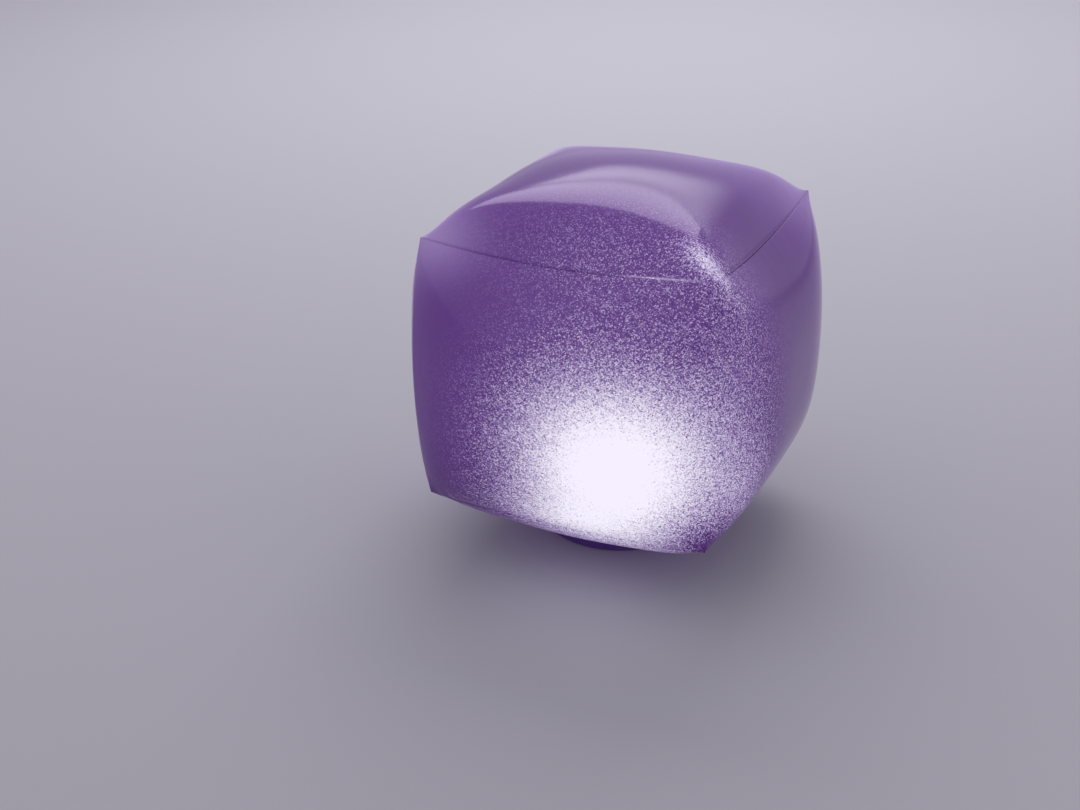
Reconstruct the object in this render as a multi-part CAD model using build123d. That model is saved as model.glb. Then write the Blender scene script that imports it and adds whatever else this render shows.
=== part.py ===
from build123d import *
import os
from math import cos, radians, sin, sqrt

# Inflatable cube light: six welded vinyl panels, blown up until they swell,
# round a sealed socket in the underside that holds a battery light puck.
# Millimetres, +Z up, front face towards -Y. The origin is on the surface
# that the light stands on, under the cube's centre.

# ---- Envelope ------------------------------------------------------------
corner_half_width = 88.7        # centre line to a corner, along X and along Y
corner_half_height = 82.5       # cube's centre to a corner, along Z
side_bulge = 26.3               # a side panel's middle, outside its corners
top_bulge = 31.0
bottom_bulge = 33.9
crown_roundness = 0.25          # 1 swells evenly, 0 has a flat middle
post_seam_bow = 6.2             # the upright seams bow outwards
rim_seam_draw = 0.6             # the level seams are drawn in at their middles
top_seam_dip = 7.0              # and the top ones sag between the corners
bottom_seam_drop = 3.7
vinyl_thickness = 0.3
weld_gap = 0.3                  # from a panel to what is welded inside it
fitting_gap = 0.2               # between rigid pieces that drop into each other
floor_gap = 6.4                 # under the lowest point of the bottom panel

# ---- Weld flanges, turned inwards along every seam -----------------------
flange_depth = 3.2
flange_thickness = 0.6          # two sheets, welded together
flange_setback = 0.8            # from the seam to the flange's outer edge
flange_span = 0.955             # share of the seam, short of the corner welds

# ---- Light puck ----------------------------------------------------------
base_radius = 48.0
skirt_step = 3.0                # the body above the skirt is this much smaller
skirt_clearance = 3.0           # skirt's top over the bottom panel's lowest level
housing_wall = 2.0
base_edge_round = 2.2
body_height = 9.6               # of the housing above the skirt
lens_wall = 1.8
lens_side_height = 4.2          # upright part of the lens
lens_rise = 8.0                 # of the dome above that
lens_corner_round = 4.0
lens_gasket_thickness = 0.8
spigot_depth = 3.0
spigot_wall = 1.2

# ---- Socket --------------------------------------------------------------
socket_clearance = 0.3          # round the puck, and between soft pieces
collar_wall = 1.5
collar_flange_width = 8.0
collar_flange_thickness = 1.2
pocket_film = 0.8
pocket_headroom = 0.4

# ---- Battery bay ---------------------------------------------------------
cell_radius = 5.25
cell_length = 43.7              # without the nub
nub_radius = 1.9
nub_length = 0.8
cell_edge_round = 0.5
cell_gap = 0.6                  # between neighbours
cell_count = 3
contact_thickness = 0.4
leaf_travel = 6.6               # space that a leaf contact bridges
leaf_gap = 0.2                  # from its bend to the cell, at rest
tab_width = 2.4
bay_centre_y = 6.0
cell_headroom = 0.4             # over and under a cell
tray_wall = 1.2
tray_roof = 1.4
tray_rib_height = 2.3

# ---- Battery cover, gasket and screws ------------------------------------
cover_recess = 0.6
cover_thickness = 2.0
cover_gap = 0.15
cover_lip_x = 11.0              # cover past the bay, at each end
cover_lip_y = 4.0
cover_corner_round = 14.0
ledge_thickness = 2.0
gasket_thickness = 1.0
gasket_width = 1.5
gasket_offset = 1.2             # from the bay's opening to the gasket
gasket_gap = 0.1                # on each side of it in its groove
screw_inset_x = 5.5             # from the cover's ends to the screws
screw_spacing_y = 24.0
screw_shank_radius = 1.1
screw_head_radius = 2.3
screw_head_height = 1.3
screw_depth = 6.0               # of thread above the cover
screw_fit = 0.05
boss_radius = 3.0
boss_height = 5.0
boss_root = 0.5                 # sunk into the floor that it rises from
screw_hole_gap = 0.2            # round a screw in what it clamps
drill_allowance = 0.3           # of a screw's hole past its tip
slot_length = 2.6
slot_width = 0.6
slot_depth = 0.8

# ---- Board, emitters and switch ------------------------------------------
board_clearance = 1.0           # to the lens's spigot
board_thickness = 1.6
board_lift = 2.2                # over the tray's roof
post_radius = 3.0
post_inset = 5.2                # from the housing's inner wall to a post's centre
emitter_spacing = 13.0
emitter_size = 5.0
emitter_height = 1.6
emitter_lens_radius = 1.9
chip_length = 8.0
chip_width = 5.0
chip_height = 1.5
capacitor_radius = 2.5
capacitor_height = 5.0
switch_size = 6.0
switch_height = 3.5
plunger_radius = 1.7
plunger_height = 0.8

# ---- Power button --------------------------------------------------------
button_radius = 6.0
button_fit = 0.08
button_inset = 15.0             # from the housing's inner wall to its centre
button_recess = 0.6
button_edge_round = 0.8
button_travel = 1.0
button_spare = 0.1              # left between stem and switch when pressed
button_flange_width = 1.4
button_flange_height = 1.0
button_stem_radius = 2.0
seal_radius = 0.45

# ---- Air valve, beside the puck on a diagonal ----------------------------
valve_spacing = 3.6             # between its flange and the socket collar's
valve_hole_radius = 9.0
valve_flange_width = 5.0
valve_flange_thickness = 0.8
valve_web_film = 0.5
stem_bore_radius = 4.05
stem_wall = 1.25
stem_length = 14.0
stem_rim_radius = 7.0
stem_rim_thickness = 1.2
stem_proud = 1.6                # rim's face over the panel when tucked in
stem_travel = 11.0
flap_thickness = 0.5
flap_gap = 0.3
plug_radius = 4.0
plug_tip_radius = 3.1
plug_depth = 4.0
plug_cap_radius = 5.8
plug_cap_thickness = 1.6
plug_gap = 0.05
plug_hinge_offset = 10.0
knuckle_radius = 0.8
strap_width = 4.0
pull_tab_length = 3.0

# ---- Worked out from the above -------------------------------------------
cube_centre_height = floor_gap + bottom_bulge + corner_half_height
side_distance = corner_half_width + side_bulge
inner_share = 1 - vinyl_thickness / side_distance
weld_share = inner_share - weld_gap / side_distance

skirt_top = floor_gap + skirt_clearance
body_radius = base_radius - skirt_step
cavity_radius = body_radius - housing_wall
housing_top = skirt_top + body_height
lens_seat = housing_top + lens_gasket_thickness
dome_start = lens_seat + lens_side_height
lens_top = dome_start + lens_rise
button_centre_y = button_inset - cavity_radius

socket_radius = body_radius + socket_clearance
collar_radius = socket_radius + collar_wall
collar_bottom = skirt_top + socket_clearance
collar_top = lens_seat
collar_flange_radius = collar_radius + collar_flange_width
valve_flange_radius = valve_hole_radius + valve_flange_width
valve_distance = collar_flange_radius + valve_spacing + valve_flange_radius
valve_share = valve_distance / sqrt(2) / corner_half_width
valve_reach = 2 * valve_flange_radius

bay_length = cell_length + nub_length + leaf_travel + 2 * contact_thickness
cell_pitch = 2 * cell_radius + cell_gap
bay_width = cell_count * cell_pitch + cell_gap
cover_seat = cover_recess + cover_thickness
floor_top = cover_seat + ledge_thickness
cell_height = cover_seat + cell_headroom + cell_radius
tray_ceiling = cell_height + cell_radius + cell_headroom
tray_top = tray_ceiling + tray_roof
cover_length = bay_length + 2 * cover_lip_x
cover_width = bay_width + 2 * cover_lip_y
screw_x = cover_length / 2 - screw_inset_x
screw_ys = [bay_centre_y - screw_spacing_y / 2, bay_centre_y + screw_spacing_y / 2]
screw_points = [(side * screw_x, y) for side in (-1, 1) for y in screw_ys]

board_bottom = tray_top + board_lift
board_top = board_bottom + board_thickness
spigot_radius = cavity_radius - fitting_gap
board_radius = spigot_radius - spigot_wall - board_clearance
post_circle = cavity_radius - post_inset
post_angles = (-30, 90, 210)
post_points = [(post_circle * cos(radians(a)), post_circle * sin(radians(a)))
               for a in post_angles]

os.makedirs("parts", exist_ok=True)


def save(shape, name):
    """Write one sub-part, named for the piece that it is."""
    shape.label = name
    export_step(shape, f"parts/{name}.step")


def disc(radius, bottom, top, x=0.0, y=0.0):
    """Upright cylinder between two levels."""
    return Pos(x, y, bottom) * Cylinder(
        radius, top - bottom, align=(Align.CENTER, Align.CENTER, Align.MIN))


def tube(outer, inner, bottom, top, x=0.0, y=0.0):
    """Upright ring between two levels."""
    return disc(outer, bottom, top, x, y) - disc(inner, bottom, top, x, y)


def block(length, width, bottom, top, x=0.0, y=0.0, corner=0.0):
    """Upright block between two levels, with rounded upright edges."""
    outline = RectangleRounded(length, width, corner) if corner else Rectangle(length, width)
    return Pos(x, y, bottom) * extrude(outline, top - bottom)


# ==========================================================================
# Envelope panels
# Each panel is one smooth patch of degree four both ways. t runs from -1 to 1
# between two seams, and these are the five control values of the curves used.
ALONG = (-1.0, -0.5, 0.0, 0.5, 1.0)          # t
BOW = (0.0, 1.0, 4 / 3, 1.0, 0.0)            # 1 - t^2, the even bow of a seam
FLAT_CROWN = (0.0, 2.0, 0.0, 2.0, 0.0)       # 1 - t^4, full with a flat middle
CROWN = [crown_roundness * b + (1 - crown_roundness) * f for b, f in zip(BOW, FLAT_CROWN)]


def front_net():
    """Control points of the front panel's outer face, about the cube's centre."""
    swell = side_bulge - post_seam_bow + rim_seam_draw
    net = []
    for across, seam_across, crown_across in zip(ALONG, BOW, CROWN):
        row = []
        for up, seam_up, crown_up in zip(ALONG, BOW, CROWN):
            half = corner_half_width + post_seam_bow * seam_up
            out = half - rim_seam_draw * seam_across + swell * crown_across * crown_up
            top_edge = corner_half_height - top_seam_dip * seam_across
            bottom_edge = corner_half_height + bottom_seam_drop * seam_across
            rise = (1 + up) / 2 * top_edge - (1 - up) / 2 * bottom_edge
            row.append(Vector(across * half, -out, rise))
        net.append(row)
    return net


def level_net(side, bulge, seam_move):
    """Control points of the top (side 1) or bottom (side -1) panel's outer face."""
    swell = bulge - 2 * seam_move
    net = []
    for across, seam_across, crown_across in zip(ALONG, BOW, CROWN):
        row = []
        for back, seam_back, crown_back in zip(ALONG, BOW, CROWN):
            x = across * (corner_half_width - rim_seam_draw * seam_back)
            y = back * (corner_half_width - rim_seam_draw * seam_across)
            out = corner_half_height + seam_move * (seam_across + seam_back)
            out += swell * crown_across * crown_back
            row.append(Vector(x, y, side * out))
        net.append(row)
    return net


def quarter_turn(points):
    """The same control points, a quarter turn on about the upright axis."""
    return [[Vector(-p.Y, p.X, p.Z) for p in row] for row in points]


def raised(points, share):
    """Control points drawn towards the cube's centre, and set at its height."""
    centre = Vector(0, 0, cube_centre_height)
    return [[centre + p * share for p in row] for row in points]


def sheet(net, outer, inner):
    """Closed sheet between two copies of a panel, drawn towards the centre.

    The walls at its seams point at the cube's centre, so neighbours meet
    face to face in a mitre.
    """
    skin, lining = raised(net, outer), raised(net, inner)
    faces = [Face.make_bezier_surface(skin), Face.make_bezier_surface(lining)]
    for skin_edge, lining_edge in ((skin[0], lining[0]), (skin[-1], lining[-1]),
                                   ([row[0] for row in skin], [row[0] for row in lining]),
                                   ([row[-1] for row in skin], [row[-1] for row in lining])):
        faces.append(Face.make_bezier_surface([skin_edge, lining_edge]))
    return closed(faces)


def closed(faces):
    """Solid from faces that share their edges, with its outside outwards."""
    solid = Solid(Shell(faces))
    return solid if solid.volume > 0 else -solid


nets = {"front_panel": front_net()}
nets["right_panel"] = quarter_turn(nets["front_panel"])
nets["back_panel"] = quarter_turn(nets["right_panel"])
nets["left_panel"] = quarter_turn(nets["back_panel"])
nets["top_panel"] = level_net(1, top_bulge, -top_seam_dip)
bottom_net = level_net(-1, bottom_bulge, bottom_seam_drop)

for panel_name, net in nets.items():
    save(sheet(net, 1, inner_share), panel_name)

# The valve's place and direction, on the bottom panel's outer face
bottom_skin = Face.make_bezier_surface(raised(bottom_net, 1))
valve_point = bottom_skin.position_at((1 - valve_share) / 2, (1 + valve_share) / 2)
valve_normal = bottom_skin.normal_at(valve_point)
if valve_normal.Z > 0:
    valve_normal = -valve_normal
valve_plane = Plane(origin=valve_point, x_dir=(-1, 1, 0), z_dir=valve_normal)
valve_place = valve_plane.location


def along_valve(radius, low, high):
    """Cylinder on the valve's axis, between two distances outside the panel."""
    return valve_place * disc(radius, low, high)


bottom_panel = sheet(bottom_net, 1, inner_share)
bottom_panel -= disc(collar_radius + socket_clearance, 0, cube_centre_height / 2)
bottom_panel -= along_valve(valve_hole_radius, -valve_reach, valve_reach)
save(bottom_panel.solid(), "bottom_panel")

# ==========================================================================
# Weld flanges: along each seam the two sheets turn inwards and are welded.


def weld_strip(seam, sideways):
    """One flange under a seam, given by its five control points."""
    reach = Vector(*seam[2]).length
    shares = (1 - flange_setback / reach, 1 - (flange_setback + flange_depth) / reach)
    shift = Vector(*sideways).normalized() * flange_thickness / 2
    centre = Vector(0, 0, cube_centre_height)
    edges = [[centre + Vector(*p) * share + shift * side for p in seam]
             for share, side in ((shares[0], 1), (shares[1], 1), (shares[1], -1), (shares[0], -1))]
    faces = [Face.make_bezier_surface([edges[k], edges[(k + 1) % 4]]) for k in range(4)]
    for end in (0, -1):
        a, b, c, d = (edge[end] for edge in edges)
        faces.append(Face.make_bezier_surface([[a, b], [d, c]]))
    return closed(faces)


weld_along = [flange_span * t for t in ALONG]
weld_bow = [1 - flange_span ** 2 * (1 - b) for b in BOW]
posts = [corner_half_width + post_seam_bow * b for b in weld_bow]
rims = [corner_half_width - rim_seam_draw * b for b in weld_bow]
post_seam = [(p, -p, corner_half_height * t) for p, t in zip(posts, weld_along)]
top_seam = [(corner_half_width * t, -r, corner_half_height - top_seam_dip * b)
            for t, r, b in zip(weld_along, rims, weld_bow)]
bottom_seam = [(corner_half_width * t, -r, -corner_half_height - bottom_seam_drop * b)
               for t, r, b in zip(weld_along, rims, weld_bow)]

weld_flanges = []
for seam, sideways in ((post_seam, (1, 1, 0)),
                       (top_seam, (0, corner_half_height, corner_half_width)),
                       (bottom_seam, (0, corner_half_height, -corner_half_width))):
    strip = weld_strip(seam, sideways)
    weld_flanges += [Rot(0, 0, 90 * k) * strip for k in range(4)]
save(Compound(children=weld_flanges), "weld_flanges")

# ==========================================================================
# Socket: a soft moulded collar, welded inside the bottom panel's hole, and a
# clear cup on top of it that keeps the air in. The puck is pushed up into them.

collar_share = weld_share - collar_flange_thickness / side_distance
collar_flange = sheet(bottom_net, weld_share, collar_share)
collar_flange &= tube(collar_flange_radius, socket_radius, 0, cube_centre_height / 2)
collar = collar_flange + tube(collar_radius, socket_radius, collar_bottom, collar_top)
save(collar.solid(), "socket_collar")


def domed_plug(radius, bottom, shoulder, top, corner):
    """Solid of a round body with an upright side and a shallow domed top."""
    with BuildSketch(Plane.XZ) as profile:
        with BuildLine():
            Line((0, bottom), (radius, bottom))
            Line((radius, bottom), (radius, shoulder))
            rise = top - shoulder
            arc_radius = (radius ** 2 + rise ** 2) / (2 * rise)
            mid = radius / 2
            mid_level = top - arc_radius + sqrt(arc_radius ** 2 - mid ** 2)
            ThreePointArc((radius, shoulder), (mid, mid_level), (0, top))
            Line((0, top), (0, bottom))
        make_face()
        shoulder_point = profile.vertices().sort_by_distance((radius, shoulder))[0]
        fillet(shoulder_point, corner)
    return revolve(profile.sketch, Axis.Z)


pocket_inside = domed_plug(socket_radius, 0, dome_start, lens_top + pocket_headroom,
                           lens_corner_round)
pocket = domed_plug(socket_radius + pocket_film, collar_top, dome_start,
                    lens_top + pocket_headroom + pocket_film,
                    lens_corner_round + pocket_film)
save((pocket - pocket_inside).solid(), "light_pocket")

# ==========================================================================
# Puck housing: a moulded cup with the battery opening in its floor.

with BuildSketch(Plane.XZ) as housing_profile:
    with BuildLine():
        Polyline((0, 0), (base_radius, 0), (base_radius, skirt_top), (body_radius, skirt_top),
                 (body_radius, housing_top), (0, housing_top), (0, 0))
    make_face()
    foot = housing_profile.vertices().sort_by_distance((base_radius, 0))[0]
    fillet(foot, base_edge_round)
    skirt_edge = housing_profile.vertices().sort_by_distance((base_radius, skirt_top))[0]
    fillet(skirt_edge, base_edge_round / 2)
housing = revolve(housing_profile.sketch, Axis.Z)
housing -= disc(cavity_radius, floor_top, housing_top)
for x, y in screw_points:
    housing += disc(boss_radius, floor_top - boss_root, floor_top + boss_height, x, y)
for x, y in post_points:
    housing += disc(post_radius, floor_top - boss_root, board_bottom, x, y)
    housing -= disc(screw_shank_radius, board_bottom - screw_depth, board_bottom, x, y)
housing -= block(cover_length + 2 * cover_gap, cover_width + 2 * cover_gap, 0, cover_seat,
                 0, bay_centre_y, cover_corner_round + cover_gap)
housing -= block(bay_length, bay_width, cover_seat, floor_top, 0, bay_centre_y)


def bay_ring(grow, width, bottom, top):
    """Flat rounded ring round the battery opening."""
    inner_length, inner_width = bay_length + 2 * grow, bay_width + 2 * grow
    ring = block(inner_length + 2 * width, inner_width + 2 * width, bottom, top,
                 0, bay_centre_y, width + gasket_offset)
    return ring - block(inner_length, inner_width, bottom, top, 0, bay_centre_y, gasket_offset)


housing -= bay_ring(gasket_offset - gasket_gap, gasket_width + 2 * gasket_gap, cover_seat,
                    cover_seat + gasket_thickness)
for x, y in screw_points:
    housing -= disc(screw_shank_radius + screw_fit, cover_seat,
                    cover_seat + screw_depth + drill_allowance, x, y)
housing -= disc(button_radius + button_fit, 0, floor_top, 0, button_centre_y)
save(housing.solid(), "base_housing")

# Lens: a frosted dome, with a spigot inside the housing's wall and a gasket.
lens = domed_plug(body_radius, lens_seat, dome_start, lens_top, lens_corner_round)
lens -= domed_plug(body_radius - lens_wall, lens_seat, dome_start, lens_top - lens_wall,
                   lens_corner_round - lens_wall)
lens += tube(spigot_radius, spigot_radius - spigot_wall, lens_seat - spigot_depth, lens_seat)
lens += tube(body_radius, spigot_radius - spigot_wall, lens_seat, lens_seat + lens_wall)
save(lens.solid(), "lens_dome")
save(tube(body_radius - fitting_gap, cavity_radius + gasket_gap, housing_top, lens_seat),
     "lens_gasket")

# ==========================================================================
# Battery tray: a box over the cells, open downwards, with ribs between them.

tray = block(bay_length + 2 * tray_wall, bay_width + 2 * tray_wall, floor_top, tray_top,
             0, bay_centre_y, tray_wall)
tray -= block(bay_length, bay_width, floor_top, tray_ceiling, 0, bay_centre_y)
cell_ys = [bay_centre_y + cell_pitch * (k - (cell_count - 1) / 2) for k in range(cell_count)]
for left, right in zip(cell_ys, cell_ys[1:]):
    tray += block(bay_length - 4 * contact_thickness, 2 * cell_gap,
                  tray_ceiling - tray_rib_height, tray_ceiling, 0, (left + right) / 2)

# Cells lie head to tail, so neighbours are wired in series.
cell_way = [1 if k % 2 == 0 else -1 for k in range(cell_count)]
cells = []
for y, way in zip(cell_ys, cell_way):
    nub_end = way * (bay_length / 2 - contact_thickness)
    can_end = nub_end - way * nub_length
    middle = can_end - way * cell_length / 2
    can = Pos(middle, y, cell_height) * Rot(0, 90, 0) * Cylinder(cell_radius, cell_length)
    can = fillet(can.edges().filter_by(GeomType.CIRCLE), cell_edge_round)
    nub = Pos(nub_end - way * nub_length / 2, y, cell_height) * Rot(0, 90, 0)
    cells.append((can + nub * Cylinder(nub_radius, nub_length)).solid())
save(Compound(children=cells), "battery_cells")


PLATE_SHARE, LEAF_RISE_SHARE, LEAF_WIDTH_SHARE = 1.4, 0.62, 1.1   # of a cell's radius


def contact_plate(way, low_y, high_y):
    """Flat stamped plate on the bay's end wall."""
    width = high_y - low_y + PLATE_SHARE * cell_radius
    thickness = contact_thickness
    return block(thickness, width, floor_top, tray_ceiling - tray_rib_height,
                 way * (bay_length - thickness) / 2, (low_y + high_y) / 2)


def contact_leaf(way, y):
    """Bent leaf that stands off a plate and presses on a cell's flat end."""
    root = way * (bay_length / 2 - contact_thickness)
    tip = root - way * (leaf_travel - leaf_gap)
    half = cell_radius * LEAF_RISE_SHARE
    nose = contact_thickness
    with BuildSketch(Plane.XZ.offset(-y)) as leaf:
        with BuildLine():
            route = Polyline((root, cell_height - half), (tip, cell_height - nose),
                             (tip, cell_height + nose), (root, cell_height + half))
        trace(route, contact_thickness)
    return extrude(leaf.sketch, LEAF_WIDTH_SHARE * cell_radius / 2, both=True)


def end_tab(way, y):
    """Tab from an end contact, up through the tray's roof to the board."""
    return block(contact_thickness, tab_width, cell_height, board_bottom,
                 way * (bay_length - contact_thickness) / 2, y)


def trimmed(shape):
    """What of a contact lies inside the bay's length."""
    inside = block(bay_length, bay_width, floor_top, board_bottom, 0, bay_centre_y)
    return (shape & inside).solid()


links = []
for k in range(cell_count - 1):
    way = -cell_way[k]
    link = contact_plate(way, cell_ys[k], cell_ys[k + 1]) + contact_leaf(way, cell_ys[k])
    links.append(trimmed(link))
save(Compound(children=links), "link_contacts")

first = contact_plate(cell_way[0], cell_ys[0], cell_ys[0]) + end_tab(cell_way[0], cell_ys[0])
last_way = -cell_way[-1]
last = contact_plate(last_way, cell_ys[-1], cell_ys[-1]) + end_tab(last_way, cell_ys[-1])
last += contact_leaf(last_way, cell_ys[-1])
save(Compound(children=[trimmed(first), trimmed(last)]), "end_contacts")

for way, y in ((cell_way[0], cell_ys[0]), (last_way, cell_ys[-1])):
    tray -= block(2 * contact_thickness, tab_width + 2 * fitting_gap,
                  tray_ceiling - tray_rib_height, tray_top,
                  way * (bay_length / 2 - contact_thickness), y)
save(tray.solid(), "battery_tray")

# ==========================================================================
# Battery cover: lies in a recess of the floor, on a gasket, under four screws.

cover = block(cover_length, cover_width, cover_recess, cover_seat, 0, bay_centre_y,
              cover_corner_round)
screws = []
head_top = cover_recess + screw_head_height
for x, y in screw_points:
    cover -= disc(screw_head_radius + screw_hole_gap, cover_recess, head_top, x, y)
    cover -= disc(screw_shank_radius + screw_hole_gap, head_top, cover_seat, x, y)
    screw = disc(screw_head_radius, cover_recess, head_top, x, y)
    screw += disc(screw_shank_radius, head_top, cover_seat + screw_depth, x, y)
    for turn in (0, 90):
        slot = Rot(0, 0, turn) * Box(slot_length, slot_width, 2 * slot_depth)
        screw -= Pos(x, y, cover_recess) * slot
    screws.append(screw.solid())
save(cover.solid(), "battery_cover")
save(Compound(children=screws), "cover_screws")
save(bay_ring(gasket_offset, gasket_width, cover_seat, cover_seat + gasket_thickness),
     "cover_gasket")

# ==========================================================================
# Lamp board on three posts, with four emitters, their driver and the switch.

board = disc(board_radius, board_bottom, board_top)
board_screws = []
for x, y in post_points:
    board -= disc(screw_shank_radius + screw_hole_gap, board_bottom, board_top, x, y)
    screw = disc(screw_head_radius, board_top, board_top + screw_head_height, x, y)
    screw += disc(screw_shank_radius - screw_fit, board_bottom - screw_depth + drill_allowance,
                  board_top, x, y)
    screw -= Pos(x, y, board_top + screw_head_height) * Box(slot_length, slot_width, slot_depth)
    board_screws.append(screw.solid())
save(board.solid(), "lamp_board")
save(Compound(children=board_screws), "board_screws")

emitters = []
for x in (-emitter_spacing / 2, emitter_spacing / 2):
    for y in (-emitter_spacing / 2, emitter_spacing / 2):
        body = block(emitter_size, emitter_size, board_top, board_top + emitter_height, x, y)
        bead = Pos(x, y, board_top + emitter_height) * Sphere(emitter_lens_radius)
        bead &= disc(emitter_size, board_top + emitter_height / 2, lens_top, x, y)
        emitters.append((body + bead).solid())
save(Compound(children=emitters), "led_emitters")

chip = block(chip_length, chip_width, board_top, board_top + chip_height,
             emitter_spacing + chip_width, 0)
capacitor = disc(capacitor_radius, board_top, board_top + capacitor_height,
                 -emitter_spacing - capacitor_radius, 0)
save(Compound(children=[chip, capacitor]), "board_components")

switch_bottom = board_bottom - switch_height
tact_switch = block(switch_size, switch_size, switch_bottom, board_bottom, 0, button_centre_y)
tact_switch += disc(plunger_radius, switch_bottom - plunger_height, switch_bottom,
                    0, button_centre_y)
save(tact_switch.solid(), "tact_switch")

# Power button: recessed in the floor, held by its flange, sealed by a ring.
flange_top = floor_top + button_flange_height
stem_top = switch_bottom - plunger_height - button_travel - button_spare
button = disc(button_radius, button_recess, floor_top, 0, button_centre_y)
button = fillet(button.edges().sort_by(Axis.Z)[0], button_edge_round)
button += disc(button_radius + button_flange_width, floor_top, flange_top, 0, button_centre_y)
button += disc(button_stem_radius, flange_top, stem_top, 0, button_centre_y)
seal_level = (button_recess + floor_top) / 2 + seal_radius
groove_radius = button_radius - 2 * seal_radius
button -= tube(button_radius + button_flange_width, groove_radius, seal_level - seal_radius,
               seal_level + seal_radius, 0, button_centre_y)
save(button.solid(), "power_button")
seal = Pos(0, button_centre_y, seal_level) * Torus(button_radius - seal_radius, seal_radius)
save(seal, "button_seal")

# ==========================================================================
# Air valve: its flange is welded inside the panel. A soft web carries the
# stem, which is pushed in flush, and pulled out to be blown up or let down.
# Distances are along the valve's axis, outwards from the panel.

stem_radius = stem_bore_radius + stem_wall
stem_foot = stem_proud - stem_length
flange_share = weld_share - valve_flange_thickness / side_distance
valve_flange = sheet(bottom_net, weld_share, flange_share)
valve_flange &= along_valve(valve_flange_radius, -valve_reach, valve_reach)
valve_flange -= along_valve(valve_hole_radius - valve_web_film, -valve_reach, valve_reach)
save(valve_flange.solid(), "valve_flange")

web_top = -vinyl_thickness - valve_flange_thickness / 2
web_outer = valve_hole_radius - valve_web_film - socket_clearance
web_foot = stem_radius + socket_clearance
with BuildSketch(Plane.XZ) as web_profile:
    with BuildLine():
        Polyline((web_outer, web_top), (web_foot + valve_web_film, stem_foot),
                 (web_foot, stem_foot), (web_outer - valve_web_film, web_top),
                 (web_outer, web_top))
    make_face()
save(valve_place * revolve(web_profile.sketch, Axis.Z), "valve_web")

ear_length = plug_hinge_offset + knuckle_radius
rim_bottom = stem_proud - stem_rim_thickness
stem = disc(stem_radius, stem_foot, stem_proud) + disc(stem_rim_radius, rim_bottom, stem_proud)
stem += block(ear_length, strap_width, rim_bottom, stem_proud, ear_length / 2, 0)
stem -= disc(stem_bore_radius, stem_foot, stem_proud)
save((valve_place * stem).solid(), "valve_stem")

flap_top = stem_foot - flap_gap
flap = disc(stem_radius, flap_top - flap_thickness, flap_top)
save(valve_place * flap, "valve_flap")

cap_bottom = stem_proud + plug_gap
hinge_level = cap_bottom + knuckle_radius
plug = disc(plug_cap_radius, cap_bottom, cap_bottom + plug_cap_thickness)
plug += Pos(0, 0, cap_bottom - plug_depth / 2) * Cone(plug_tip_radius, plug_radius, plug_depth)
plug += block(plug_hinge_offset, strap_width, cap_bottom, hinge_level,
              plug_hinge_offset / 2, 0)
plug += Pos(plug_hinge_offset, 0, hinge_level) * Rot(90, 0, 0) * Cylinder(
    knuckle_radius, strap_width)
plug += block(plug_cap_radius + pull_tab_length, strap_width, hinge_level - knuckle_radius / 2,
              cap_bottom + plug_cap_thickness, -(plug_cap_radius + pull_tab_length) / 2, 0,
              knuckle_radius)
save((valve_place * plug).solid(), "valve_plug")

# Values that the record repeats, in metres
hinge_point = valve_plane.from_local_coords((plug_hinge_offset, 0, hinge_level))
print("puck slides", 0, "to", (lens_top + 12) / 1000)
print("valve axis", valve_normal, "at", valve_point / 1000)
print("plug hinge", valve_plane.y_dir, "at", hinge_point / 1000)
print("button centre", (0, button_centre_y / 1000), "height", 2 * cube_centre_height)
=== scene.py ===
"""Looks of the inflatable LED cube light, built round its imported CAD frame."""

import math

import bpy
import numpy as np
from mathutils import Matrix, Vector


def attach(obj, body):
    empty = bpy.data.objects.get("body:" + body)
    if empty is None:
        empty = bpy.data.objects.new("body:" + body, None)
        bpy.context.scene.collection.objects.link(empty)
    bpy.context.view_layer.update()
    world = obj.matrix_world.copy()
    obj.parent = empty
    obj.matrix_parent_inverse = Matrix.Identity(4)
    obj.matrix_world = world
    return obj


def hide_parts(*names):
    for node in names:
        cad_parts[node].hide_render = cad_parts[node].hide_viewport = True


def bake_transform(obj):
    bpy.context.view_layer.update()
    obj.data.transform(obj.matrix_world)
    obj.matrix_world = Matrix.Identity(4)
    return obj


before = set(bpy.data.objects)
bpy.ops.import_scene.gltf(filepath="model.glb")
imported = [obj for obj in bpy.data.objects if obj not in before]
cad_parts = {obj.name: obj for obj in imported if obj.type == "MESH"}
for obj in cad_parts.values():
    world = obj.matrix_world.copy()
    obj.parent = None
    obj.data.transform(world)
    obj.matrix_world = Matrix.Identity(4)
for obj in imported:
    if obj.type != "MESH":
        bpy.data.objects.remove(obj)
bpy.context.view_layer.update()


# ---- Camera ---------------------------------------------------------------
# A slightly long lens, 25 degrees round to the right of the front panel and 25
# degrees above level. The cube stands left of and above the picture's middle, so
# the camera looks past it, and needs no shift.

CUBE_CENTRE = 0.1228                # metres above the floor
PICTURE_WIDTH = 1080                # pixels
FOCAL_LENGTH = 1461.2               # in the picture's pixels
CAMERA_DISTANCE, CAMERA_ASIDE, CAMERA_LOWER = 0.9031, 0.04972, 0.03993    # metres
camera_turn, camera_rise = math.radians(24.725), math.radians(25.35)
camera_roll = math.radians(-0.294)
back = Vector((math.sin(camera_turn) * math.cos(camera_rise),
               -math.cos(camera_turn) * math.cos(camera_rise), math.sin(camera_rise)))
level = Vector((math.cos(camera_turn), math.sin(camera_turn), 0))
upright = back.cross(level)
across = math.cos(camera_roll) * level + math.sin(camera_roll) * upright
aloft = math.cos(camera_roll) * upright - math.sin(camera_roll) * level
camera = bpy.data.objects.new("camera", bpy.data.cameras.new("camera"))
camera.data.sensor_width = 36
camera.data.lens = FOCAL_LENGTH / PICTURE_WIDTH * camera.data.sensor_width
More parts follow.
